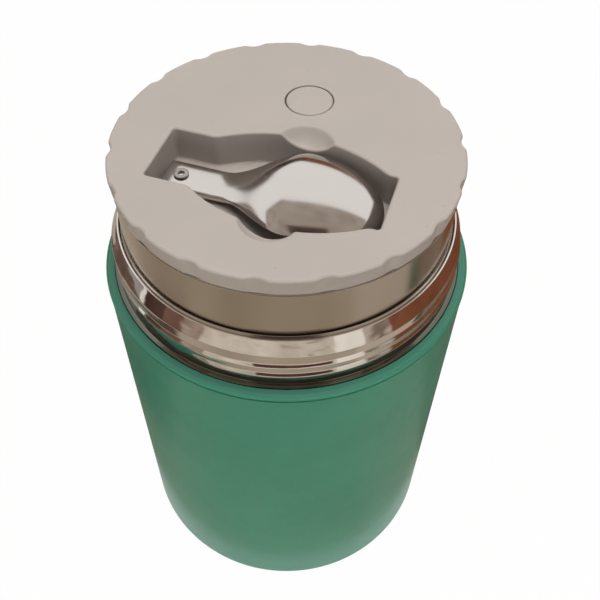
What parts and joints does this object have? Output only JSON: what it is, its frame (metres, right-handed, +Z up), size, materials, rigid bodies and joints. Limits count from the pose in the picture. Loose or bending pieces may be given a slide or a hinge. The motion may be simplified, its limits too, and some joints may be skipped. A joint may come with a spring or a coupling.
{
  "type": "insulated food jar",
  "caption": "Double-walled steel food jar with a screw-in lid, a vent button in the lid, and a folding spoon stowed in a recess on top.",
  "frame": {"origin": "centre of the foot, on the surface that the jar stands on", "axes": "+Z up the jar's axis to the lid; +X along the spoon recess, from the rivet to the bowl's tip; the vent button lies on +Y"},
  "size_m": [0.1106, 0.1106, 0.1716],
  "materials": {
    "green_paint": "satin teal-green enamel",
    "polished_steel": "polished stainless steel",
    "vessel_steel": "brushed stainless steel",
    "base_steel": "satin stainless steel",
    "getter_metal": "sintered, dull",
    "grey_plastic": "warm light grey, fine matte",
    "satin_steel": "satin stainless steel, grain round the band",
    "pale_plastic": "pale grey, satin",
    "foam": "closed-cell foam, matte",
    "silicone": "translucent white silicone, satin",
    "screw_steel": "plain steel",
    "pin_steel": "bright drawn steel",
    "spoon_steel": "polished bowl, brushed neck",
    "washer_plastic": "natural nylon"
  },
  "bodies": {
    "jar": {"outer_shell": "green_paint", "neck_ring": "polished_steel", "inner_vessel": "vessel_steel", "base_plate": "base_steel", "seal_cap": "base_steel", "getter": "getter_metal"},
    "lid_seal": {"lid_gasket": "silicone"},
    "lid": {"lid_top": "grey_plastic", "lid_sleeve": "satin_steel", "lid_plug": "pale_plastic", "lid_base": "pale_plastic", "lid_foam": "foam", "lid_screws": "screw_steel", "vent_spring": "pin_steel"},
    "vent": {"vent_button": "grey_plastic", "vent_stem": "pin_steel", "vent_seal": "silicone", "vent_clip": "pin_steel"},
    "spoon": {"spoon_bowl": "spoon_steel", "spoon_rivet": "pin_steel", "spoon_washer": "washer_plastic"},
    "handle": {"spoon_handle": "spoon_steel"}
  },
  "joints": [
    {"name": "lid_lift", "type": "slide", "parent": "jar", "child": "lid_seal", "axis": [0, 0, 1], "range_m": [0, 0.036]},
    {"name": "lid_turn", "type": "hinge", "parent": "lid_seal", "child": "lid", "pos_m": [0, 0, 0], "axis": [0, 0, 1], "range_deg": [0, 720]},
    {"name": "vent_button_press", "type": "slide", "parent": "lid", "child": "vent", "axis": [0, 0, -1], "range_m": [0, 0.0025], "stiffness_N_per_m": 400, "springref_m": -0.003, "deforming": ["vent_spring"]},
    {"name": "spoon_lift", "type": "slide", "parent": "lid", "child": "spoon", "axis": [0, 0, 1], "range_m": [0, 0.17]},
    {"name": "spoon_unfold", "type": "hinge", "parent": "spoon", "child": "handle", "pos_m": [-0.026, -0.0129, 0.1611], "axis": [0, 0, 1], "range_deg": [0, 180]}
  ],
  "couplings": [
    {"joint": "lid_lift", "follows": "lid_turn", "m_per_rad": 0.0028647},
    {"joint": "spoon_unfold", "follows": "spoon_lift", "rad_per_m": 18.479}
  ]
}
